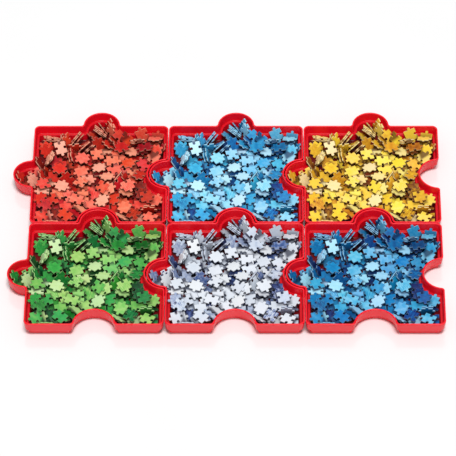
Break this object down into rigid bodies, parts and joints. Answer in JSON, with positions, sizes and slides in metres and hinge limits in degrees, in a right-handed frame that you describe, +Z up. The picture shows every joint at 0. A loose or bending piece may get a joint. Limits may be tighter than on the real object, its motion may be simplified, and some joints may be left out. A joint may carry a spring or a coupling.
{
  "type": "jigsaw puzzle sorting tray set",
  "caption": "Set of interlocking jigsaw-shaped stacking trays in two rows, each holding a heap of loose jigsaw pieces sorted by colour.",
  "frame": {"origin": "middle of the set's overall box, tabs included, on the surface the trays stand on", "axes": "+X to the right along the three columns, +Y from the front row to the back row, +Z up"},
  "size_m": [0.627, 0.427, 0.0266],
  "materials": {
    "tray_plastic": "satin gloss",
    "red_pieces": "printed, matt",
    "light_blue_pieces": "printed, matt",
    "yellow_pieces": "printed, matt",
    "green_pieces": "printed, matt",
    "white_pieces": "printed, matt",
    "dark_blue_pieces": "printed, matt"
  },
  "bodies": {
    "back_left": {"tray_back_left": "tray_plastic", "red_pieces": "red_pieces"},
    "back_center": {"tray_back_center": "tray_plastic", "light_blue_pieces": "light_blue_pieces"},
    "back_right": {"tray_back_right": "tray_plastic", "yellow_pieces": "yellow_pieces"},
    "front_left": {"tray_front_left": "tray_plastic", "green_pieces": "green_pieces"},
    "front_center": {"tray_front_center": "tray_plastic", "white_pieces": "white_pieces"},
    "front_right": {"tray_front_right": "tray_plastic", "dark_blue_pieces": "dark_blue_pieces"}
  },
  "joints": [
    {"name": "lift_back_left", "type": "slide", "parent": "front_center", "child": "back_left", "axis": [0, 0, 1], "range_m": [0, 0.06]},
    {"name": "lift_back_center", "type": "slide", "parent": "front_center", "child": "back_center", "axis": [0, 0, 1], "range_m": [0, 0.06]},
    {"name": "lift_back_right", "type": "slide", "parent": "front_center", "child": "back_right", "axis": [0, 0, 1], "range_m": [0, 0.06]},
    {"name": "lift_front_left", "type": "slide", "parent": "front_center", "child": "front_left", "axis": [0, 0, 1], "range_m": [0, 0.06]},
    {"name": "lift_front_right", "type": "slide", "parent": "front_center", "child": "front_right", "axis": [0, 0, 1], "range_m": [0, 0.06]}
  ]
}
